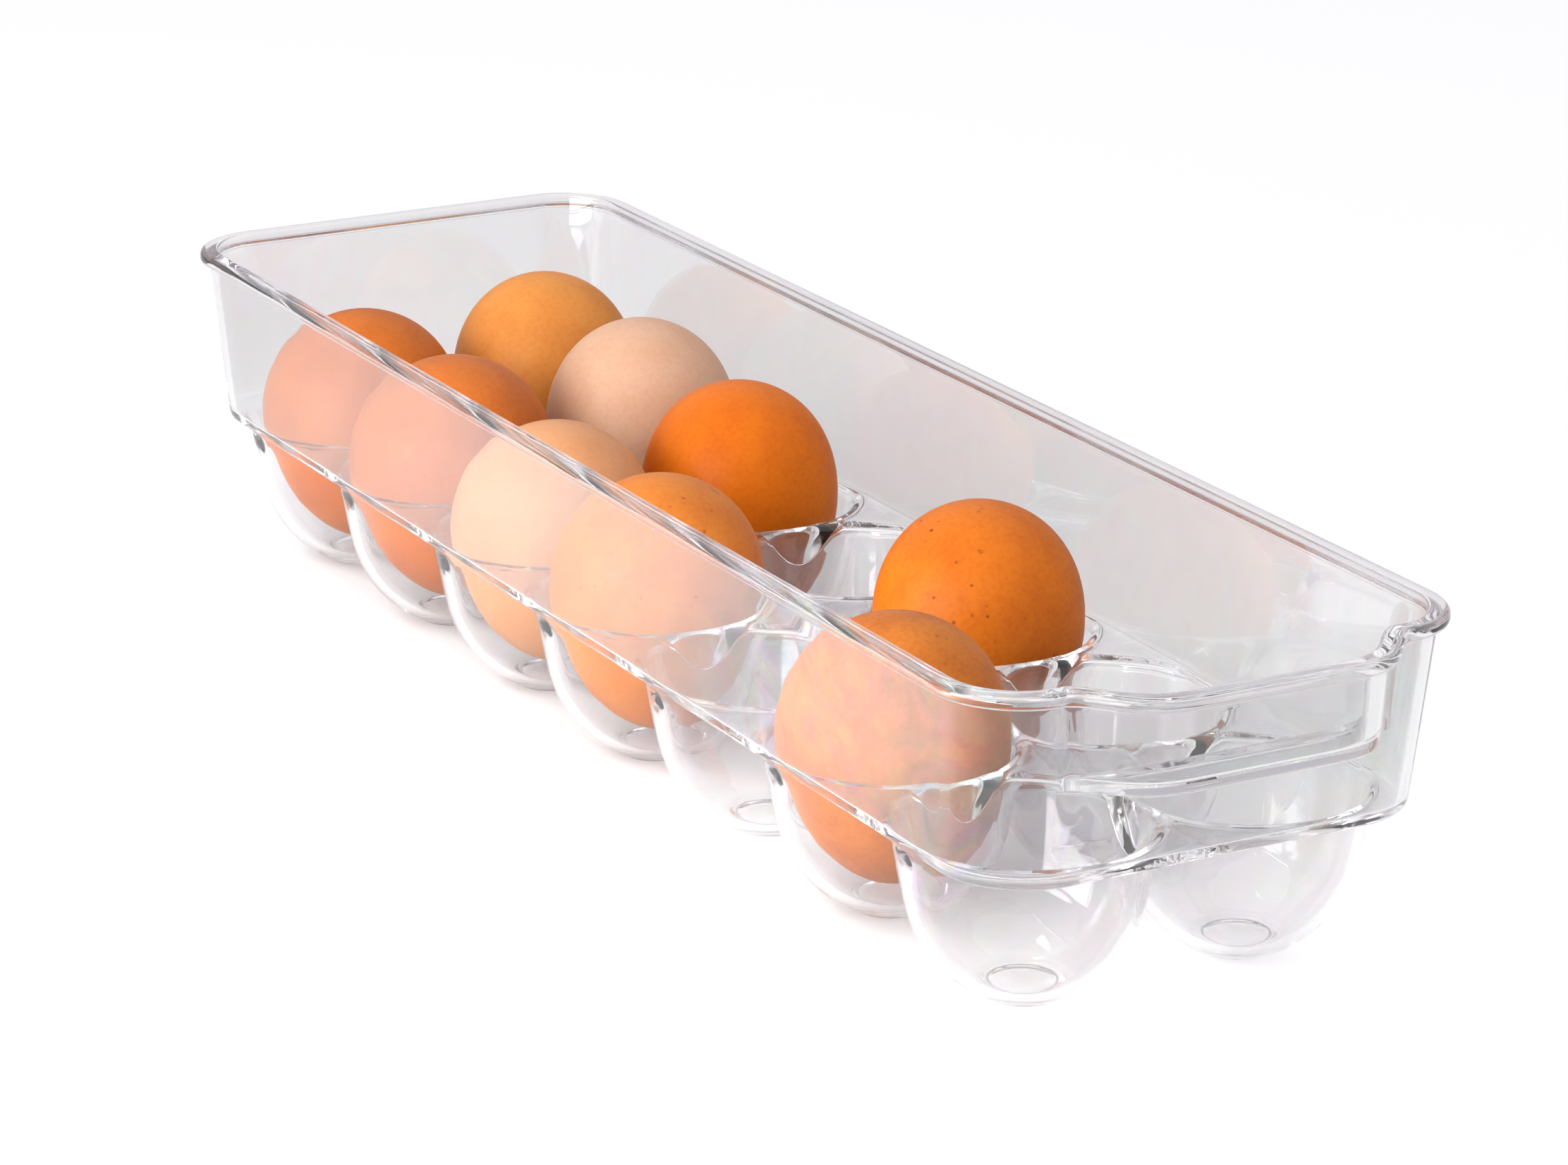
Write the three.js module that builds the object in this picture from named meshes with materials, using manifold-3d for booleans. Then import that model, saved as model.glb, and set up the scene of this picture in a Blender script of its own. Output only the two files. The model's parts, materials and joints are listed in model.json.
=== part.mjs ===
// Egg holder tray: a clear moulded refrigerator bin whose floor is two rows of seven egg cups,
// with nine hens' eggs standing in it. Millimetres, +Z up, +Y along the rows, handle at -Y.
// The origin is under the middle of the whole tray, on the surface that the cups stand on.

import * as THREE from 'three';
import { mergeVertices } from 'three/addons/utils/BufferGeometryUtils.js';
import Module from 'manifold-3d';

const wasm = await Module();
wasm.setup();

// ---------------------------------------------------------------- driving dimensions
const CUPS_PER_ROW = 7;
const CUP_PITCH = 48.8; // centre to centre along a row
const ROW_PITCH = 47.4; // centre to centre across the two rows
const HEIGHT = 71.6; // standing surface to the top of the rim
const WALL = 2; // moulded wall thickness
const GAP = 0.3; // clearance between neighbouring solids

const RIM_HALF_WIDTH = 54; // outer edge of the rim bead
const RIM_HALF_LENGTH = 180.15;
const RIM_CORNER = 17.3;
const RIM_DEPTH = 2.9; // height of the bead
const RIM_OVERHANG = 2.2; // how far the bead stands out past the wall
const RIM_ROUND = 0.9;
const DRAFT = 2.1; // how far the wall leans in between the rim and the deck

const DECK_TOP = 34.6; // flat web between the cups
const DECK_BOTTOM = DECK_TOP - WALL;

const CUP_RADIUS = 23.1; // inside, at the deck
const BOWL_RADIUS = 21.5; // inside, where the taper meets the round bowl
const BOWL_HEIGHT = 25; // height of that line
const FLOOR_RADIUS = 8.8; // flat inside floor of a cup
const FLOOR_HEIGHT = 3.2;
const FOOT_RADIUS = 7.6; // flat foot that a cup stands on
const FOOT_TOP_RADIUS = 8.2; // where the foot's sloping side meets the bowl
const FOOT_HEIGHT = 0.8;
const LIP_ROUND = 2.4; // rounding from the deck down into a cup

const HANDLE_DEPTH = 12.2; // how far the end wall bulges out as a pull
const HANDLE_BASE = 37; // half-width where the bulge leaves the wall
const HANDLE_FRONT = 12; // half-width of its flat front
const HANDLE_STEEPEST = 0.28; // where its S-curve is steepest, as a share of the way from base to front
const LEDGE_HEIGHT = 51.9; // underside of the bulge, where the fingers hook

const EGG_SEAT = 5.45; // height of an egg's lowest point, its sides being held by the bowl
const BIN_MIDDLE = HANDLE_DEPTH / 2; // the bin sits back from the origin by half the bulge

const EGG_FULLNESS = 0.12; // how much fuller an egg's upper end is

const CUP_FACETS = 20; // sides of a cup
const EGG_FACETS = 16;
const CORNER_FACETS = 5; // steps round a quarter of an outline corner
const BOWL_STEPS = 4; // rings of a cup's bowl
const EGG_STEPS = 9; // rings of an egg

// Which cups are filled, counted from the handle: cup, diameter, height, lean across and along.
const NEAR_EGGS = [
  [2, 43.4, 53.5, 1, 0],
  [4, 43, 54, 1.8, 0],
  [5, 42.4, 52.5, 2.4, -0.6],
  [6, 44, 54.5, 1.5, 0],
  [7, 43.6, 53, 2, 0],
];
const FAR_EGGS = [
  [3, 42.8, 55, 1.5, 0],
  [5, 42.4, 55, -1.5, 1],
  [6, 43, 57, 0, 0],
  [7, 42.6, 56, 0, 0],
];

// ---------------------------------------------------------------- materials
const clearPlastic = () =>
  new THREE.MeshStandardMaterial({
    color: 0xe4e8ea,
    roughness: 0.06,
    metalness: 0,
    transparent: true,
    opacity: 0.35,
  });

const eggShell = (color) => new THREE.MeshStandardMaterial({ color, roughness: 0.55, metalness: 0 });

const SHELL_COLOURS = {
  egg_near_2: 0xcb7a33,
  egg_near_4: 0xd9945c,
  egg_near_5: 0xe0a878,
  egg_near_6: 0xcb6a2d,
  egg_near_7: 0xcd6c2d,
  egg_far_3: 0xe27c2d,
  egg_far_5: 0xd4640f,
  egg_far_6: 0xdda482,
  egg_far_7: 0xdb863c,
};

// ---------------------------------------------------------------- solids
function solid(geometry) {
  const bare = geometry.index ? geometry.toNonIndexed() : geometry.clone();
  bare.deleteAttribute('normal');
  bare.deleteAttribute('uv');
  const welded = mergeVertices(bare, 1e-4);
  return new wasm.Manifold(
    new wasm.Mesh({
      numProp: 3,
      vertProperties: new Float32Array(welded.attributes.position.array),
      triVerts: new Uint32Array(welded.index.array),
    }),
  );
}

function meshOf(name, body, material) {
  const { vertProperties, triVerts } = body.getMesh();
  const geometry = new THREE.BufferGeometry();
  geometry.setAttribute('position', new THREE.BufferAttribute(vertProperties, 3));
  geometry.setIndex(new THREE.BufferAttribute(triVerts, 1));
  geometry.computeVertexNormals();
  const mesh = new THREE.Mesh(geometry, material);
  mesh.name = name;
  return mesh;
}

const union = (first, ...rest) => rest.reduce((whole, piece) => whole.add(piece), first);

// Plan outline of the bin, drawn `inset` inside the rim's outer edge. The end at -Y runs
// straight, or bulges out as the handle with an S-curve on each side.
function binOutline(inset, withHandle) {
  const x = RIM_HALF_WIDTH - inset;
  const y = RIM_HALF_LENGTH - inset;
  const r = RIM_CORNER - Math.min(inset, WALL + RIM_OVERHANG);
  const shape = new THREE.Shape();
  shape.moveTo(-x + r, -y);
  if (withHandle) {
    handleFront(shape, inset, -y);
  }
  shape.lineTo(x - r, -y);
  shape.absarc(x - r, -y + r, r, -Math.PI / 2, 0, false);
  shape.absarc(x - r, y - r, r, 0, Math.PI / 2, false);
  shape.absarc(-x + r, y - r, r, Math.PI / 2, Math.PI, false);
  shape.absarc(-x + r, -y + r, r, Math.PI, 1.5 * Math.PI, false);
  return shape;
}

function handleFront(shape, inset, wallY) {
  const base = HANDLE_BASE - inset;
  const front = HANDLE_FRONT - inset / 2;
  const frontY = wallY - HANDLE_DEPTH;
  const steepest = base - HANDLE_STEEPEST * (base - front);
  shape.lineTo(-base, wallY);
  shape.bezierCurveTo(-steepest, wallY, -steepest, frontY, -front, frontY);
  shape.lineTo(front, frontY);
  shape.bezierCurveTo(steepest, frontY, steepest, wallY, base, wallY);
}

// Upright prism of a plan outline, leaning in by `lean` from its top edge to its bottom edge.
function prism(shape, bottom, top, lean = 0) {
  const depth = top - bottom;
  const geometry = new THREE.ExtrudeGeometry(shape, {
    depth,
    bevelEnabled: false,
    curveSegments: CORNER_FACETS,
  });
  const position = geometry.attributes.position;
  for (let i = 0; i < position.count; i += 1) {
    const below = 1 - position.getZ(i) / depth;
    position.setX(i, position.getX(i) * (1 - (lean * below) / RIM_HALF_WIDTH));
    position.setY(i, position.getY(i) * (1 - (lean * below) / RIM_HALF_LENGTH));
  }
  geometry.translate(0, 0, bottom);
  return solid(geometry);
}

// Block that keeps only the front of a prism, where the bulge is.
function frontBlock(floor, top, halfWidth) {
  const reach = RIM_HALF_LENGTH + HANDLE_DEPTH;
  const geometry = new THREE.BoxGeometry(2 * halfWidth, reach, top - floor);
  geometry.translate(0, -reach / 2, (top + floor) / 2);
  return solid(geometry);
}

// ---------------------------------------------------------------- bin wall
function binWall() {
  const wallInset = RIM_OVERHANG;
  const innerInset = RIM_OVERHANG + WALL;
  const rimBottom = HEIGHT - RIM_DEPTH;
  const beyond = 1; // cutters run past the faces they open

  const outside = prism(binOutline(wallInset, false), DECK_BOTTOM, HEIGHT - RIM_ROUND, DRAFT);
  const bulge = prism(binOutline(wallInset, true), LEDGE_HEIGHT, HEIGHT - RIM_ROUND).intersect(
    frontBlock(LEDGE_HEIGHT, HEIGHT, HANDLE_BASE - wallInset),
  );
  const bead = new THREE.ExtrudeGeometry(binOutline(RIM_ROUND, true), {
    depth: RIM_DEPTH - 2 * RIM_ROUND,
    bevelThickness: RIM_ROUND,
    bevelSize: RIM_ROUND,
    bevelSegments: 1,
    curveSegments: CORNER_FACETS,
  });
  bead.translate(0, 0, rimBottom + RIM_ROUND);

  const inside = prism(binOutline(innerInset, false), DECK_BOTTOM - beyond, HEIGHT + beyond, DRAFT);
  const pocket = prism(binOutline(innerInset, true), LEDGE_HEIGHT + WALL, HEIGHT + beyond).intersect(
    frontBlock(LEDGE_HEIGHT + WALL, HEIGHT + beyond, HANDLE_BASE - innerInset),
  );
  return union(outside, bulge, solid(bead)).subtract(inside).subtract(pocket);
}

// ---------------------------------------------------------------- egg cups
const lathe = (points) =>
  solid(new THREE.LatheGeometry(points, CUP_FACETS).rotateX(Math.PI / 2));

// Round bowl profile: an elliptical quarter from the foot up to the taper, then the taper.
function bowlProfile(footRadius, footHeight, bowlRadius, topRadius, topHeight) {
  const start = Math.asin(footRadius / bowlRadius);
  const drop = (BOWL_HEIGHT - footHeight) / Math.cos(start);
  const points = [];
  for (let i = 0; i <= BOWL_STEPS; i += 1) {
    const angle = start + ((Math.PI / 2 - start) * i) / BOWL_STEPS;
    points.push(new THREE.Vector2(bowlRadius * Math.sin(angle), BOWL_HEIGHT - drop * Math.cos(angle)));
  }
  points.push(new THREE.Vector2(topRadius, topHeight));
  return points;
}

// The tile of floor that one cup takes up: half a pitch each way, or out to the bin wall.
function cellTile(row, index) {
  const inner = GAP / 2;
  const across = RIM_HALF_WIDTH - RIM_OVERHANG - WALL - DRAFT - GAP;
  const endwise = RIM_HALF_LENGTH - RIM_OVERHANG - WALL - DRAFT - GAP;
  const low = index === 0 ? -endwise : cupY(index) - BIN_MIDDLE - CUP_PITCH / 2 + inner;
  const high = index === CUPS_PER_ROW - 1 ? endwise : cupY(index) - BIN_MIDDLE + CUP_PITCH / 2 - inner;
  const geometry = new THREE.BoxGeometry(across - inner, high - low, DECK_TOP);
  geometry.translate((row * (across + inner)) / 2, (high + low) / 2, DECK_TOP / 2);
  return solid(geometry);
}

const cupX = (row) => (row * ROW_PITCH) / 2;
const cupY = (index) => BIN_MIDDLE + (index - (CUPS_PER_ROW - 1) / 2) * CUP_PITCH;

function cup(row, index) {
  const x = cupX(row);
  const y = cupY(index) - BIN_MIDDLE;
  const inset = RIM_OVERHANG + WALL + DRAFT + GAP;
  const tile = cellTile(row, index).intersect(prism(binOutline(inset, false), 0, DECK_TOP));
  const deck = tile.intersect(prism(binOutline(inset, false), DECK_BOTTOM, DECK_TOP));
  const outerTop = DECK_BOTTOM + WALL / 2; // ends inside the web
  const outer = [
    new THREE.Vector2(0, 0),
    new THREE.Vector2(FOOT_RADIUS, 0),
    ...bowlProfile(FOOT_TOP_RADIUS, FOOT_HEIGHT, BOWL_RADIUS + WALL, CUP_RADIUS + WALL, outerTop),
    new THREE.Vector2(0, outerTop),
  ];
  const lipStart = CUP_RADIUS + LIP_ROUND;
  const lipShoulder = LIP_ROUND * (1 - Math.SQRT1_2);
  const inner = [
    new THREE.Vector2(0, FLOOR_HEIGHT),
    ...bowlProfile(FLOOR_RADIUS, FLOOR_HEIGHT, BOWL_RADIUS, CUP_RADIUS, DECK_TOP - LIP_ROUND),
    new THREE.Vector2(CUP_RADIUS + lipShoulder, DECK_TOP - lipShoulder),
    new THREE.Vector2(lipStart, DECK_TOP),
    new THREE.Vector2(lipStart, HEIGHT),
    new THREE.Vector2(0, HEIGHT),
  ];
  const outside = lathe(outer).translate([x, y, 0]).intersect(tile);
  return outside.add(deck).subtract(lathe(inner).translate([x, y, 0]));
}

// ---------------------------------------------------------------- eggs
// Half outline of an egg standing on its small end: an ellipse that is fuller towards the top.
function eggGeometry(diameter, height) {
  const points = [new THREE.Vector2(0, 0)];
  for (let i = 1; i < EGG_STEPS; i += 1) {
    const angle = (Math.PI * i) / EGG_STEPS;
    const z = -Math.cos(angle);
    const radius = (diameter / 2) * Math.sin(angle) * (1 + EGG_FULLNESS * z);
    points.push(new THREE.Vector2(radius, (height / 2) * (1 + z)));
  }
  points.push(new THREE.Vector2(0, height));
  return new THREE.LatheGeometry(points, EGG_FACETS).rotateX(Math.PI / 2);
}

function egg(name, row, [number, diameter, height, leanAcross, leanAlong]) {
  const body = solid(eggGeometry(diameter, height));
  const mesh = meshOf(name, body, eggShell(SHELL_COLOURS[name]));
  mesh.position.set(cupX(row), cupY(number - 1), EGG_SEAT);
  mesh.rotation.set(THREE.MathUtils.degToRad(-leanAlong), THREE.MathUtils.degToRad(leanAcross), 0);
  return mesh;
}

// ---------------------------------------------------------------- assembly
const tray = new THREE.Group();
tray.position.y = BIN_MIDDLE;
tray.add(meshOf('bin_wall', binWall(), clearPlastic()));
for (const [side, row] of [['near', -1], ['far', 1]]) {
  for (let index = 0; index < CUPS_PER_ROW; index += 1) {
    tray.add(meshOf(`cup_${side}_${index + 1}`, cup(row, index), clearPlastic()));
  }
}

const eggs = new THREE.Group();
for (const [side, row, filled] of [['near', -1, NEAR_EGGS], ['far', 1, FAR_EGGS]]) {
  for (const size of filled) {
    eggs.add(egg(`egg_${side}_${size[0]}`, row, size));
  }
}

const eggHolderTray = new THREE.Group();
eggHolderTray.add(tray, eggs);

export default eggHolderTray;
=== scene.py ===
import json
from math import asin, atan2, cos, pi, radians, sin, sqrt

import bmesh
import bpy
import numpy as np
from mathutils import Matrix, Vector


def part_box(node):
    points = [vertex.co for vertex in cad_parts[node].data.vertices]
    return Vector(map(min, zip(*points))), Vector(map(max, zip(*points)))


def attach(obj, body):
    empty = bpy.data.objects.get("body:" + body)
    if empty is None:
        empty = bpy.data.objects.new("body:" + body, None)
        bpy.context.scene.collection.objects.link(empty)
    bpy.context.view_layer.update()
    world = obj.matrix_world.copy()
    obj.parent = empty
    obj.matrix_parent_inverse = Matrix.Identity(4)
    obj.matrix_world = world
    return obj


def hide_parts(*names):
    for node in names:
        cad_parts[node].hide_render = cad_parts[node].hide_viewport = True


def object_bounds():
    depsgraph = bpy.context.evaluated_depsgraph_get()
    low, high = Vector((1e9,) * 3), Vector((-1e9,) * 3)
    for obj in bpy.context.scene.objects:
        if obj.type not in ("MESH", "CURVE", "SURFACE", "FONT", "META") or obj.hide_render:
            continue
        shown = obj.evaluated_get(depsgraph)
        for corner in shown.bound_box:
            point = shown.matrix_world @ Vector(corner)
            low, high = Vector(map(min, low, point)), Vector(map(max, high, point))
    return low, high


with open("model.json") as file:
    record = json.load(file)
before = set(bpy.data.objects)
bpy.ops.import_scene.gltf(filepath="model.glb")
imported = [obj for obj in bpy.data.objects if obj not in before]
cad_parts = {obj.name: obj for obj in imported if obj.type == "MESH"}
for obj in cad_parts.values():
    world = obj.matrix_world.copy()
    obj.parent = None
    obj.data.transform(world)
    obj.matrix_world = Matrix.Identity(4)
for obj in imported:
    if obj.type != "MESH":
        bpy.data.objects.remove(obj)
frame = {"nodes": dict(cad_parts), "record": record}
cad_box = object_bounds()

# ---------------------------------------------------------------------------------------------
# The tray. One injection moulding in water-clear plastic, about 2 mm thick everywhere: a long
# bin with a rolled rim, a pull formed by one end wall, and a floor of fourteen egg cups whose
# webs run into each other. It is made here as one closed skin: the insides of the cups, the
# inner wall, the rim bead, the outer wall and the undersides of the cups, sewn edge to edge.

feet = {m["name"]: m["pos_m"] for m in frame["record"]["mounts"] if m["name"].startswith("foot_")}
ROW_X = feet["foot_far_1"][0]  # each row's axis from the middle
FIRST_Y, LAST_Y = feet["foot_far_1"][1], feet["foot_far_7"][1]
CUPS = 7
PITCH = (LAST_Y - FIRST_Y) / (CUPS - 1)
BIN_Y = (FIRST_Y + LAST_Y) / 2  # the bin's middle, set back by half the pull's depth
RIM_TOP = cad_box[1][2]
RIM_HALF_WIDTH = cad_box[1][0]
RIM_HALF_LENGTH = cad_box[1][1] - BIN_Y
RIM_CORNER = 0.0173
THICK = 0.0020
OVERHANG = 0.0022  # rim bead past the wall
BEAD = 0.0029  # depth of the bead
DRAFT = 0.0021  # how far the wall leans in on its way down to the floor
DECK_TOP = 0.0346
DECK_UNDER = DECK_TOP - THICK
CORNER_GROWTH = 0.0045  # the bin's upright corners get rounder towards the floor

PULL_DEPTH = 0.0122
PULL_BASE, PULL_FRONT = 0.0370, 0.0120  # half-widths where the pull leaves the wall and in front
PULL_SKEW = 2.2  # how much nearer to the wall than to the front its S-curve is steepest
LEDGE = 0.0519  # underside of the pull


def smoothstep(t):
    t = np.clip(t, 0.0, 1.0)
    return t * t * (3.0 - 2.0 * t)


def bowl_radius(z, wide, deep, slope):
    """Radius of a cup at height z: an ellipse of half-width `wide` and depth `deep` about the
    bowl's centre height, and above the point where it leans out by `slope`, its tangent."""
    run = slope * deep / wide
    tangent = run / sqrt(1.0 + run * run)
    join = BOWL_Z - tangent * deep
    ellipse = wide * np.sqrt(np.clip(1.0 - ((BOWL_Z - z) / deep) ** 2, 0.0, 1.0))
    straight = wide * sqrt(1.0 - tangent * tangent) + slope * (z - join)
    return np.where(z < join, ellipse, straight)


def bowl_height(r, wide, deep, slope):
    """The same curve read the other way: height at radius r."""
    run = slope * deep / wide
    tangent = run / sqrt(1.0 + run * run)
    join = BOWL_Z - tangent * deep
    join_r = wide * sqrt(1.0 - tangent * tangent)
    ellipse = BOWL_Z - deep * np.sqrt(np.clip(1.0 - (r / wide) ** 2, 0.0, 1.0))
    return np.where(r < join_r, ellipse, join + (r - join_r) / slope)


BOWL_Z = 0.0250
TAPER = 0.20
INSIDE = (0.0212, 0.0240, TAPER)  # inner bowl: half-width, depth, lean of the sides
OUTSIDE = (0.0232, 0.0260, TAPER)
FLOOR_Z, FLOOR_SOFT = 0.0031, 0.00022
LIP_DROP = 0.0024
LIP_WIDE = 0.0024
LIP_R = float(bowl_radius(DECK_TOP - LIP_DROP, *INSIDE))
CROWDED = 0.85  # most of the room to the cell's edge that a rounding may take
WEB_DIP = 0.0005  # how much lower the web is where two lips crowd each other
FLOOR_RINGS = [0.0, 0.003, 0.006, 0.0078, 0.0086, 0.0091, 0.0096, 0.0103, 0.0114]
BOWL_FROM = 0.0128  # radius where the rings begin to follow the bowl by angle


def hollow(reach):
    """Inside of a cup as rings from its middle to its cell's edge at distance `reach`: flat
    floor and bowl joined by a soft maximum, leaning side, quarter-ellipse lip, flat web."""
    one = np.ones_like(reach)
    bowl_angles = np.linspace(asin(BOWL_FROM / INSIDE[0]), radians(76), 9)
    radii = FLOOR_RINGS + [INSIDE[0] * sin(angle) for angle in bowl_angles]
    rings = []
    for r in radii:
        z = float(bowl_height(np.float64(r), *INSIDE))
        z = FLOOR_Z + FLOOR_SOFT * np.logaddexp(0.0, (z - FLOOR_Z) / FLOOR_SOFT)
        rings.append((r * one, z * one))
    for z in np.linspace(rings[-1][1][0], DECK_TOP - LIP_DROP, 5)[1:-1]:
        rings.append((bowl_radius(z, *INSIDE) * one, z * one))
    room = np.minimum(LIP_WIDE, CROWDED * (reach - LIP_R))
    rise = LIP_DROP - WEB_DIP * (1.0 - room / LIP_WIDE) ** 2
    for t in np.linspace(0.0, pi / 2, 7):
        rings.append((LIP_R + room * (1.0 - cos(t)), DECK_TOP - LIP_DROP + rise * sin(t)))
    edge_r, edge_z = rings[-1]
    for share in (0.3, 0.65, 1.0):
        rings.append((edge_r + share * (reach - edge_r), edge_z))
    return rings


FOOT = [(0.0, 0.0003), (0.0035, 0.0003), (0.0060, 0.0002), (0.0066, 0.0), (0.0071, 0.0)]
FOOT += [(0.0075, 0.0001), (0.0079, 0.0004)]
ABOVE_FOOT = 0.0084  # radius where the bowl begins
UNDER_FILLET = 0.0015
SIDE_ROOM = 0.0005  # least width left for the hollow corner under the web


def underside(reach, at_wall):
    """Outside of a cup as rings from the middle of its foot: flat foot with a round edge, bowl,
    leaning side, then a hollow corner up into the web, or into the wall where `at_wall`."""
    one = np.ones_like(reach)
    rings = [(r * one, z * one) for r, z in FOOT]
    start = float(bowl_height(np.float64(ABOVE_FOOT), *OUTSIDE))
    full_r = float(bowl_radius(DECK_UNDER - UNDER_FILLET, *OUTSIDE))
    side_r = np.minimum(full_r, reach - SIDE_ROOM)
    side_z = bowl_height(side_r, *OUTSIDE)
    steps = 13
    for k in range(steps + 1):
        z = start + (side_z - start) * (1.0 - cos(pi / 2 * k / steps))
        rings.append((bowl_radius(z, *OUTSIDE), z))
    room = np.minimum(UNDER_FILLET, CROWDED * (reach - side_r))
    rise = np.minimum(UNDER_FILLET, 1.4 * room)
    rise = np.where(at_wall, DECK_UNDER - side_z, np.minimum(rise, DECK_UNDER - side_z))
    for t in np.linspace(0.0, pi / 2, 6)[1:]:
        rings.append((side_r + room * (1.0 - cos(t)), side_z + rise * sin(t)))
    edge_r, edge_z = rings[-1]
    for share in (0.5, 1.0):
        rings.append((edge_r + share * (reach - edge_r), edge_z))
    return rings


def corner_radius(z):
    """Radius of the bin's upright corners at the rim's outer edge line, at height z."""
    return RIM_CORNER + CORNER_GROWTH * np.clip((RIM_TOP - z) / (RIM_TOP - DECK_TOP), 0.0, 1.0)


def cell_edge(middle, low, high, half, corner, counts):
    """Plan points round one cup's cell, counter-clockwise from its low corner: rays from the
    cup's axis, evenly turned between the cell's corners, cut by its sides and round corner."""
    x0, y0 = np.subtract(low, middle)
    x1, y1 = np.subtract(high, middle)
    turns = [atan2(y0, x0), atan2(y0, x1), atan2(y1, x1), atan2(y1, x0), atan2(y0, x0) + 2 * pi]
    angle = np.concatenate(
        [np.linspace(turns[k], turns[k + 1], counts[k], endpoint=False) for k in range(4)]
    )
    ux, uy = np.cos(angle), np.sin(angle)
    reach_x = np.where(ux > 0, x1, -x0) / np.maximum(np.abs(ux), 1e-9)
    reach_y = np.where(uy > 0, y1, -y0) / np.maximum(np.abs(uy), 1e-9)
    reach = np.minimum(reach_x, reach_y)
    hit_x, hit_y = middle[0] + reach * ux, middle[1] + reach * uy
    beyond = (np.abs(hit_x) > half[0] - corner) & (np.abs(hit_y) > half[1] - corner)
    to_x = np.sign(hit_x) * (half[0] - corner) - middle[0]
    to_y = np.sign(hit_y) * (half[1] - corner) - middle[1]
    along = to_x * ux + to_y * uy
    inside = np.clip(along**2 - to_x**2 - to_y**2 + corner**2, 0.0, None)
    reach = np.where(beyond, along + np.sqrt(inside), reach)
    return angle, reach


def ring_faces(rows, columns, flip):
    """Quads between rings of vertices, row by row, the last column joined to the first."""
    row = np.arange(rows - 1)[:, None] * columns
    col = np.arange(columns)
    after = (col + 1) % columns
    quads = np.stack([row + col, row + columns + col, row + columns + after, row + after], -1)
    quads = quads.reshape(-1, 4)
    return quads[:, ::-1] if flip else quads


SEAM = 2e-6  # vertices closer than this are one


class Skin:
    """Collects stacks of rings and makes one mesh of them, sewn where their edges meet."""

    def __init__(self):
        self.points = []
        self.quads = []
        self.count = 0

    def add(self, points, flip=False):
        rows, columns = points.shape[:2]
        self.quads.append(ring_faces(rows, columns, flip) + self.count)
        self.points.append(points.reshape(-1, 3))
        self.count += rows * columns

    def build(self, name, sharp):
        mesh = bpy.data.meshes.new(name)
        mesh.from_pydata(np.concatenate(self.points), [], np.concatenate(self.quads).tolist())
        sewn = bmesh.new()
        sewn.from_mesh(mesh)
        bmesh.ops.remove_doubles(sewn, verts=sewn.verts, dist=SEAM)
        sewn.to_mesh(mesh)
        sewn.free()
        mesh.validate()
        mesh.shade_smooth()
        mesh.set_sharp_from_angle(angle=sharp)
        piece = bpy.data.objects.new(name, mesh)
        bpy.context.scene.collection.objects.link(piece)
        return piece


def plan(core, normal, inset, z):
    """Point on the bin's outline drawn `inset` inside the rim's outer edge: the corner
    centres' rectangle scaled by `core`, plus the corner radius along the outward normal."""
    radius = corner_radius(z) - inset
    half = np.array([RIM_HALF_WIDTH - inset, RIM_HALF_LENGTH - inset])
    return core * (half - radius) + normal * radius


def outline_place(points, inset, z):
    """Reads plan points on such an outline back into `core` and `normal`."""
    radius = corner_radius(z) - inset
    half = np.array([RIM_HALF_WIDTH - inset, RIM_HALF_LENGTH - inset]) - radius
    inner = np.clip(points, -half, half)
    return inner / half, (points - inner) / radius


PULL_CLOSING = 0.48  # how fast the pull narrows on lines further in, so its wall stays even


def wall_loop(core, normal, inset, z, share):
    """One closed line round the wall. In the front wall it steps out by `share` of the pull's
    depth, with an S-curve at each side that is steepest near the wall."""
    p = plan(core, normal, inset, z)
    front = np.clip(-normal[:, 1], 0.0, 1.0) ** 4
    away = np.abs(p[:, 0]) + PULL_CLOSING * inset
    t = np.clip((PULL_BASE - away) / (PULL_BASE - PULL_FRONT), 0.0, 1.0)
    bulge = smoothstep(1.0 - (1.0 - t) ** PULL_SKEW) * front
    y = BIN_Y + p[:, 1] - PULL_DEPTH * share * bulge
    return np.stack([p[:, 0], y, np.full(len(p), z)], -1)


EDGE_IN = OVERHANG + THICK + DRAFT  # inset of the inner wall where it meets the floor
WALL_FOOT_FILLET = 0.0004
EDGE_UNDER = OVERHANG + DRAFT + 0.0010
SIDE_STEPS, PULL_STEPS = 20, 48

skin = Skin()
top_edges, under_edges = {}, {}
for row in (-1, 1):
    for i in range(CUPS):
        middle = (row * ROW_X, FIRST_Y - BIN_Y + i * PITCH)
        counts = [SIDE_STEPS] * 4
        if i == 0:
            counts[0] = PULL_STEPS
        wall_side = {1 if row > 0 else 3}
        if i == 0:
            wall_side.add(0)
        if i == CUPS - 1:
            wall_side.add(2)
        at_wall = np.concatenate([np.full(n, k in wall_side) for k, n in enumerate(counts)])
        for edges, inset, level, under in (
            (top_edges, EDGE_IN + WALL_FOOT_FILLET, DECK_TOP, False),
            (under_edges, EDGE_UNDER, DECK_UNDER, True),
        ):
            half = (RIM_HALF_WIDTH - inset, RIM_HALF_LENGTH - inset)
            low = [min(0.0, row * half[0]), middle[1] - PITCH / 2]
            high = [max(0.0, row * half[0]), middle[1] + PITCH / 2]
            if i == 0:
                low[1] = -half[1]
            if i == CUPS - 1:
                high[1] = half[1]
            corner = float(corner_radius(level)) - inset
            angle, reach = cell_edge(middle, low, high, half, corner, counts)
            rings = underside(reach, at_wall) if under else hollow(reach)
            r = np.array([ring[0] for ring in rings])
            z = np.array([ring[1] for ring in rings])
            x = middle[0] + r * np.cos(angle)
            y = BIN_Y + middle[1] + r * np.sin(angle)
            points = np.stack([x, y, z], -1)
            skin.add(points, flip=under)
            starts = np.cumsum([0] + counts)
            for k in range(4):
                edges[row, i, k] = points[-1, starts[k] : starts[k + 1]]


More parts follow.
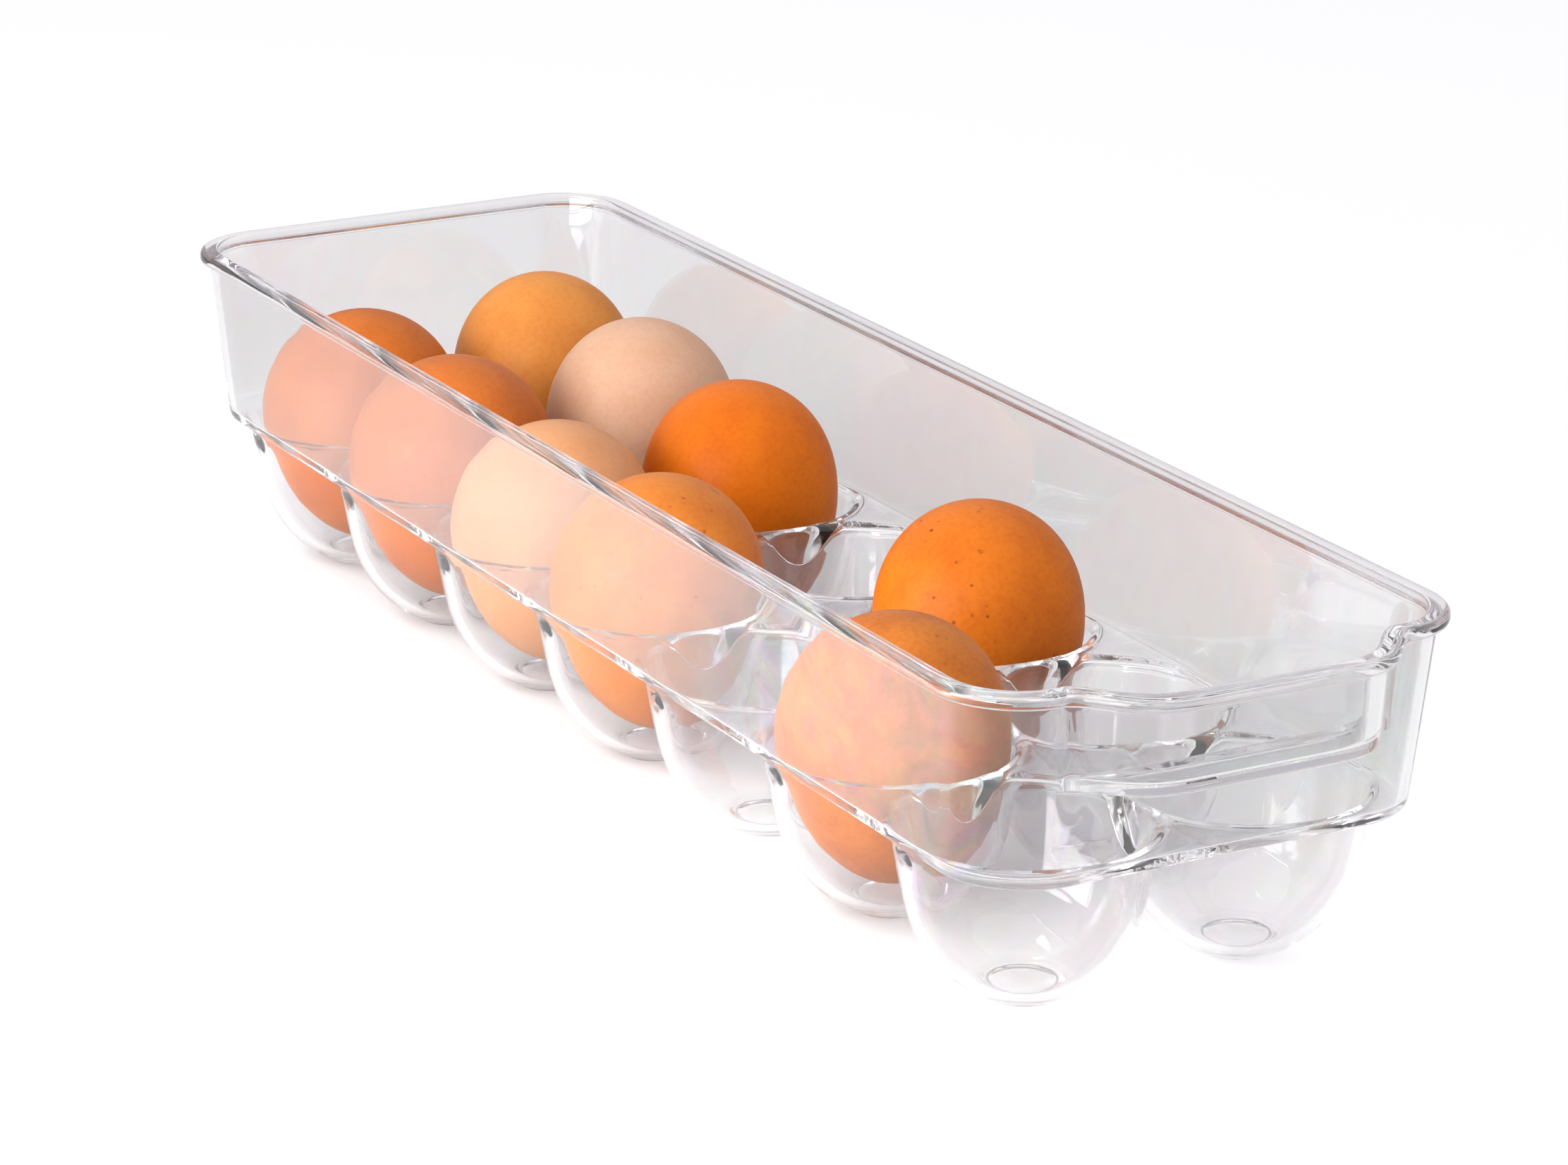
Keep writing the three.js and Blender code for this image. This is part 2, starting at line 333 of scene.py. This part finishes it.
def way_round(edges):
    """The outer edges of the end and side cells, joined counter-clockwise from the front."""
    run = [edges[-1, 0, 0], edges[1, 0, 0]]
    run += [edges[1, i, 1] for i in range(CUPS)]
    run += [edges[1, CUPS - 1, 2], edges[-1, CUPS - 1, 2]]
    run += [edges[-1, i, 3] for i in reversed(range(CUPS))]
    return np.concatenate(run)


def lean(z, top):
    """Extra inset of a wall at height z that leans in by DRAFT from `top` to the floor."""
    return DRAFT * (top - z) / (top - DECK_TOP)


inner_edge, outer_edge = way_round(top_edges), way_round(under_edges)
offset = np.array([0.0, BIN_Y])
inner_place = outline_place(inner_edge[:, :2] - offset, EDGE_IN + WALL_FOOT_FILLET, DECK_TOP)
outer_place = outline_place(outer_edge[:, :2] - offset, EDGE_UNDER, DECK_UNDER)

loops = [inner_edge]
rise = inner_edge[:, 2] - DECK_TOP
for t in (radians(30), radians(60), radians(90)):
    inset = EDGE_IN + WALL_FOOT_FILLET * (1.0 - sin(t))
    loop = wall_loop(*inner_place, inset, DECK_TOP + WALL_FOOT_FILLET * (1.0 - cos(t)), 0)
    loop[:, 2] += rise * cos(t)
    loops.append(loop)

# The step out onto the pull's ledge: share of the depth, height above the ledge line in mm.
STEP = [(0, -0.8), (0.01, -0.35), (0.03, -0.12), (0.07, 0.0), (0.3, 0.0), (0.6, 0.02)]
STEP += [(0.88, 0.04), (0.94, 0.15), (0.975, 0.4), (0.995, 0.85), (1, 1.5)]
WALL_TOP = RIM_TOP - BEAD
inner_face = OVERHANG + THICK
for z in np.linspace(DECK_TOP + 0.001, LEDGE + THICK - 0.0015, 4):
    loops.append(wall_loop(*inner_place, inner_face + lean(z, RIM_TOP), z, 0))
for share, dz in STEP:
    z = LEDGE + THICK + dz * 0.001
    loops.append(wall_loop(*inner_place, inner_face + lean(z, RIM_TOP), z, share))
for z in np.linspace(LEDGE + THICK + 0.0030, RIM_TOP - 0.0012, 3):
    loops.append(wall_loop(*inner_place, inner_face + lean(z, RIM_TOP), z, 1))

# Rim bead: inner edge, flat top, outer edge and underside, as quarter rounds between flats.
INNER_ROUND, OUTER_ROUND, UNDER_ROUND, NECK_ROUND = 0.0008, 0.0015, 0.0010, 0.0006
quarter = np.linspace(0.0, pi / 2, 6)
for t in quarter:
    inset = inner_face - INNER_ROUND * (1 - cos(t))
    loops.append(wall_loop(*inner_place, inset, RIM_TOP - INNER_ROUND * (1 - sin(t)), 1))
for t in quarter:
    inset = OUTER_ROUND * (1 - sin(t))
    loops.append(wall_loop(*outer_place, inset, RIM_TOP - OUTER_ROUND * (1 - cos(t)), 1))
for t in quarter:
    inset = UNDER_ROUND * (1 - cos(t))
    loops.append(wall_loop(*outer_place, inset, WALL_TOP + UNDER_ROUND * (1 - sin(t)), 1))
for t in quarter:
    inset = OVERHANG - NECK_ROUND * (1 - sin(t))
    loops.append(wall_loop(*outer_place, inset, WALL_TOP - NECK_ROUND * (1 - cos(t)), 1))

# Outer wall, down past the pull to the rounded edge under the floor.
neck = WALL_TOP - NECK_ROUND
for z in np.linspace(neck - 0.001, LEDGE + 0.0030, 3):
    loops.append(wall_loop(*outer_place, OVERHANG + lean(z, neck), z, 1))
for share, dz in reversed(STEP):
    z = LEDGE + dz * 0.001
    loops.append(wall_loop(*outer_place, OVERHANG + lean(z, neck), z, share))
EDGE_RISE = 0.0030
for z in np.linspace(LEDGE - 0.0015, DECK_UNDER + EDGE_RISE, 4):
    loops.append(wall_loop(*outer_place, OVERHANG + lean(z, neck), z, 0))
foot_inset = OVERHANG + float(lean(DECK_UNDER + EDGE_RISE, neck))
for t in quarter[1:-1]:
    inset = EDGE_UNDER + (foot_inset - EDGE_UNDER) * cos(t)
    loops.append(wall_loop(*outer_place, inset, DECK_UNDER + EDGE_RISE * (1 - sin(t)), 0))
loops.append(outer_edge)
skin.add(np.array(loops))
tray = skin.build("clear_tray", radians(50))


def feed(tree, node, inputs):
    """Sets a node's inputs, by name or number, to plain values or links sockets to them."""
    for name, value in inputs.items():
        if isinstance(value, Value):
            tree.links.new(value.socket, node.inputs[name])
        else:
            node.inputs[name].default_value = value


class Value:
    """A socket in a node tree. Arithmetic on it adds the Math node that does it."""

    def __init__(self, tree, socket):
        self.tree, self.socket = tree, socket

    def made(self, kind, settings, inputs, output=0):
        """Adds a node of this kind, sets it up and feeds it."""
        node = self.tree.nodes.new(kind)
        for key, value in settings.items():
            setattr(node, key, value)
        feed(self.tree, node, inputs)
        return Value(self.tree, node.outputs[output])

    def math(self, operation, first, second):
        return self.made("ShaderNodeMath", {"operation": operation}, {0: first, 1: second})

    def __add__(self, other):
        return self.math("ADD", self, other)

    def __rsub__(self, other):
        return self.math("SUBTRACT", other, self)

    def __mul__(self, other):
        return self.math("MULTIPLY", self, other)

    __radd__ = __add__
    __rmul__ = __mul__

    def between(self, low, high):
        """0 below low, 1 above high, with a soft step between."""
        inputs = {"Value": self, "From Min": low, "From Max": high}
        return self.made("ShaderNodeMapRange", {"interpolation_type": "SMOOTHSTEP"}, inputs)


def axis(place, number):
    """One coordinate of a place: number 0, 1 or 2 for X, Y or Z."""
    return place.made("ShaderNodeSeparateXYZ", {}, {0: place}, output=number)


def noise(place, scale, detail=2.0):
    inputs = {"Vector": place, "Scale": scale, "Detail": detail, "Roughness": 0.5}
    return place.made("ShaderNodeTexNoise", {"noise_dimensions": "3D"}, inputs)


def mixed(factor, low, high, blend="MIX"):
    """A colour between two colours, by a factor. Each is a socket or three numbers."""
    ends = [end if isinstance(end, Value) else (*end, 1) for end in (low, high)]
    settings = {"data_type": "RGBA", "blend_type": blend}
    return factor.made("ShaderNodeMix", settings, {0: factor, 6: ends[0], 7: ends[1]}, output=2)


def bumped(height, strength, distance):
    """The surface normal, tilted by a field of heights."""
    inputs = {"Strength": strength, "Distance": distance, "Height": height}
    return height.made("ShaderNodeBump", {}, inputs)


def new_material(name):
    """An empty node material, its output node and its Object coordinates in millimetres."""
    material = bpy.data.materials.new(name)
    material.use_nodes = True
    tree = material.node_tree
    tree.nodes.clear()
    output = tree.nodes.new("ShaderNodeOutputMaterial")
    place = Value(tree, tree.nodes.new("ShaderNodeTexCoord").outputs["Object"])
    inputs = {"Vector": place, "Scale": 1000.0}
    place = place.made("ShaderNodeVectorMath", {"operation": "SCALE"}, inputs)
    return material, tree, output, place


# Painted shade: the plastic's grey colours stand in for the grey surroundings seen through it;
# darker in the walls, paler in the cups.
WALL_SHADE_TINTS = (0.785, 0.77, 0.78), (0.77, 0.78, 0.78)  # faintly warm, faintly cool
CUP_SHADE_TINT = (0.89, 0.88, 0.886)  # painted light, paler: the floor seen through the cups is brighter, and several walls lie one behind another there
STRAIN, PULL_STRAIN = 0.05, 0.30  # strength of the strain tints anywhere, and more by the pull
SHADOW_TINT = (0.985, 0.985, 0.985, 1)


def clear_plastic():
    """Clear moulded plastic: glass-like, greyed by painted shade that is paler low in the cups,
    with the slow waviness that cooling leaves in a moulded face, a breath of haze, and the faint
    rainbow tints of moulding strain, strongest in the near side wall towards the pull."""
    material, tree, output, place = new_material("clear plastic")
    # Painted shade: grey walls, varied at random between faintly warm and faintly cool.
    colour = mixed(noise(place, 0.018, 1.0).between(0.35, 0.65), *WALL_SHADE_TINTS)
    # Painted light: the plastic is paler below 26 mm, in the cups, than above 38 mm, in the
    # walls.
    colour = mixed(axis(place, 2).between(26.0, 38.0), CUP_SHADE_TINT, colour)
    inputs = {"Vector": place, "Scale": 0.045, "Detail": 2.0, "Distortion": 4.0}
    bands = place.made("ShaderNodeTexNoise", {"noise_dimensions": "3D"}, inputs, output=1)
    near_side = 1.0 - axis(place, 0).between(-47.5, -44.5)
    near_pull = 1.0 - axis(place, 1).between(-120.0, -40.0)
    colour = mixed(STRAIN + PULL_STRAIN * (near_side * near_pull), colour, bands, "LINEAR_LIGHT")
    shader = tree.nodes.new("ShaderNodeBsdfPrincipled")
    looks = {"Transmission Weight": 1.0, "IOR": 1.57, "Base Color": colour}
    looks["Roughness"] = 0.012 + 0.03 * noise(place, 0.12, 3.0).between(0.45, 0.75)
    looks["Normal"] = bumped(noise(place, 0.045, 1.0), 0.25, 0.0006)
    feed(tree, shader, looks)
    through = tree.nodes.new("ShaderNodeBsdfTransparent")
    through.inputs["Color"].default_value = SHADOW_TINT
    shadow = Value(tree, tree.nodes.new("ShaderNodeLightPath").outputs["Is Shadow Ray"])
    ends = Value(tree, shader.outputs[0]), Value(tree, through.outputs[0])
    surface = shadow.made("ShaderNodeMixShader", {}, {0: shadow, 1: ends[0], 2: ends[1]})
    feed(tree, output, {"Surface": surface})
    return material


tray.data.materials.append(clear_plastic())
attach(tray, "tray")
tray_nodes = [name for name in frame["nodes"] if name.startswith(("bin_wall", "cup_"))]
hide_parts(*tray_nodes)

# ---------------------------------------------------------------------------------------------
# The eggs. Nine loose hens' eggs, brown to pale beige, each standing on its small end in its
# cup. A shell is matt with a faint sheen, finely pitted, mottled, and some are speckled.

SHELLS = {
    # name: (colour, mottle colour, speckles 0 to 1, lean across, lean along)
    "egg_near_2": ((0.49, 0.144, 0.015), (0.343, 0.08, 0.008), 0.5, 1.0, 0.0),
    "egg_near_4": ((0.539, 0.167, 0.02), (0.431, 0.109, 0.011), 0.6, 1.8, 0.0),
    "egg_near_5": ((0.531, 0.25, 0.114), (0.479, 0.197, 0.078), 0.0, 2.4, -0.6),
    "egg_near_6": ((0.468, 0.12, 0.015), (0.366, 0.084, 0.009), 0.1, 1.5, 0.0),
    "egg_near_7": ((0.467, 0.117, 0.01), (0.37, 0.081, 0.007), 0.1, 2.0, 0.0),
    "egg_far_3": ((0.573, 0.14, 0.006), (0.434, 0.086, 0.003), 1.0, 1.5, 0.0),
    "egg_far_5": ((0.6, 0.135, 0.001), (0.485, 0.088, 0.001), 0.2, -1.5, 1.0),
    "egg_far_6": ((0.561, 0.342, 0.228), (0.521, 0.278, 0.162), 0.0, 0.0, 0.0),
    "egg_far_7": ((0.601, 0.227, 0.044), (0.499, 0.161, 0.029), 0.1, 0.0, 0.0),
}
FULLNESS = 0.12  # how much fuller the upper end is


def egg_skin(name, low, high, across, along):
    """An egg standing on its small end: an ellipse turned about its length whose radius is
    stretched by FULLNESS towards the top, leaned over about the point it stands on."""
    rows, columns = 65, 96
    angle = np.linspace(0.0, pi, rows)[:, None]
    turn = np.linspace(0.0, 2 * pi, columns, endpoint=False)[None, :]
    width, height = high[0] - low[0], high[2] - low[2]
    level = -np.cos(angle)
    radius = width / 2 * np.sin(angle) * (1.0 + FULLNESS * level)
    up = height / 2 * (1 + level) + 0 * turn
    points = np.stack([radius * np.cos(turn), radius * np.sin(turn), up], -1)
    tip = Matrix.Rotation(radians(across), 3, "Y") @ Matrix.Rotation(radians(-along), 3, "X")
    points = points @ np.array(tip).T
    lean_x = height / 2 * sin(radians(across))
    lean_y = height / 2 * sin(radians(along))
    points[..., 0] += (low[0] + high[0]) / 2 - lean_x
    points[..., 1] += (low[1] + high[1]) / 2 - lean_y
    points[..., 2] += low[2]
    shell = Skin()
    shell.add(points[::-1], flip=True)
    return shell.build(name, pi)


def shell_material(name, colour, mottle, speckles):
    """Egg shell: pigment mottled in two sizes over the base colour, dark specks where the hen
    left them, and a skin of fine pores that breaks up the sheen."""
    material, tree, output, place = new_material(name)
    seed = sum(ord(letter) for letter in name)
    moved = {0: place, 1: (seed, seed / 2, seed / 3)}
    place = place.made("ShaderNodeVectorMath", {"operation": "ADD"}, moved)
    cloud = noise(place, 0.09).between(0.35, 0.7)
    grain = noise(place, 0.9, 3.0).between(0.4, 0.72)
    base = mixed(cloud * 0.45 + grain * 0.35, colour, mottle)
    inputs = {"Vector": place, "Scale": 0.42, "Randomness": 1.0}
    spots = place.made("ShaderNodeTexVoronoi", {"feature": "F1"}, inputs)
    size = noise(place, 0.25, 1.0).between(0.5, 0.75)
    speck = (1.0 - spots.between(0.10, 0.24)) * size * speckles
    base = mixed(speck, base, tuple(c * 0.28 for c in mottle))
    pores = noise(place, 2.4)
    shader = tree.nodes.new("ShaderNodeBsdfPrincipled")
    looks = {"Specular IOR Level": 0.15, "Subsurface Weight": 0.12}
    looks["Subsurface Radius"] = (0.004, 0.002, 0.001)
    looks["Base Color"] = base
    looks["Roughness"] = 0.42 + 0.16 * pores
    looks["Normal"] = bumped(pores, 0.25, 0.00012)
    feed(tree, shader, looks)
    tree.links.new(shader.outputs[0], output.inputs["Surface"])
    return material


for node, (colour, mottle, speckles, across, along) in SHELLS.items():
    low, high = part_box(node)
    egg = egg_skin(node + "_shell", low, high, across, along)
    egg.data.materials.append(shell_material(node + " shell", colour, mottle, speckles))
    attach(egg, node)
    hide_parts(node)

# ---------------------------------------------------------------------------------------------
# The studio. A plain pale floor, a long soft box low on the left that stands in for a window,
# a narrow lamp that brightens the floor beside the tray, which the near wall mirrors, and a
# soft sky, white overhead and pale lilac towards the horizon.

paint, paint_tree, paint_output, _ = new_material("white floor")
matt = paint_tree.nodes.new("ShaderNodeBsdfDiffuse")
matt.inputs["Color"].default_value = (0.83, 0.83, 0.83, 1)
paint_tree.links.new(matt.outputs[0], paint_output.inputs["Surface"])

REACH = 6.0
corners = [(-REACH, -REACH, 0), (REACH, -REACH, 0), (REACH, REACH, 0), (-REACH, REACH, 0)]
floor_mesh = bpy.data.meshes.new("floor")
floor_mesh.from_pydata(corners, [], [(0, 1, 2, 3)])
floor = bpy.data.objects.new("floor", floor_mesh)
floor.data.materials.append(paint)
bpy.context.scene.collection.objects.link(floor)


def soft_box(name, place, target, size, power, spread=180):
    lamp = bpy.data.lights.new(name, "AREA")
    lamp.spread = radians(spread)
    lamp.shape = "RECTANGLE"
    lamp.size, lamp.size_y = size
    lamp.energy = power
    box = bpy.data.objects.new(name, lamp)
    box.location = place
    box.rotation_euler = (Vector(target) - Vector(place)).to_track_quat("-Z", "Y").to_euler()
    bpy.context.scene.collection.objects.link(box)


soft_box("window", (-0.8, -0.22, 0.24), (0, 0, 0.03), (0.9, 0.44), 9)
soft_box("floor wash", (-0.18, 0.03, 0.4), (-0.18, 0.03, 0.0), (0.10, 0.36), 0.28, spread=50)

world = bpy.data.worlds.new("studio")
bpy.context.scene.world = world
world.use_nodes = True
sky = world.node_tree
sky.nodes.clear()
aim = Value(sky, sky.nodes.new("ShaderNodeTexCoord").outputs["Generated"])
behind, above = axis(aim, 1), axis(aim, 2)
glow = 0.15 * behind.between(-0.8, 0.5) + 0.85 * above.between(0.05, 0.8)
shade = mixed(glow, (0.64, 0.59, 0.69), (1.28, 1.28, 1.28))
backdrop = sky.nodes.new("ShaderNodeBackground")
feed(sky, backdrop, {"Color": shade})
sky_out = sky.nodes.new("ShaderNodeOutputWorld")
sky.links.new(backdrop.outputs[0], sky_out.inputs["Surface"])

scene = bpy.context.scene
scene.view_settings.view_transform = "Standard"
scene.cycles.max_bounces = 64
scene.cycles.transmission_bounces = 64
scene.cycles.glossy_bounces = 36
scene.cycles.transparent_max_bounces = 32

# The camera stands 1.08 m off the near front corner, looking down at the bin at 18.5 degrees.
AZIMUTH, ELEVATION, ROLL = radians(-29.057), radians(18.531), radians(0.37)
AIM = Vector((-0.00344, -0.0119, 0.03885))
DISTANCE = 1.0777
back = Vector((sin(AZIMUTH) * cos(ELEVATION), -cos(AZIMUTH) * cos(ELEVATION), sin(ELEVATION)))
lens = bpy.data.cameras.new("camera")
lens.sensor_width = 36.0
lens.lens = 120.55
lens.clip_start = 0.01
camera = bpy.data.objects.new("camera", lens)
turn = back.to_track_quat("Z", "Y").to_matrix().to_4x4() @ Matrix.Rotation(ROLL, 4, "Z")
camera.matrix_world = Matrix.Translation(AIM + back * DISTANCE) @ turn
scene.collection.objects.link(camera)
scene.camera = camera
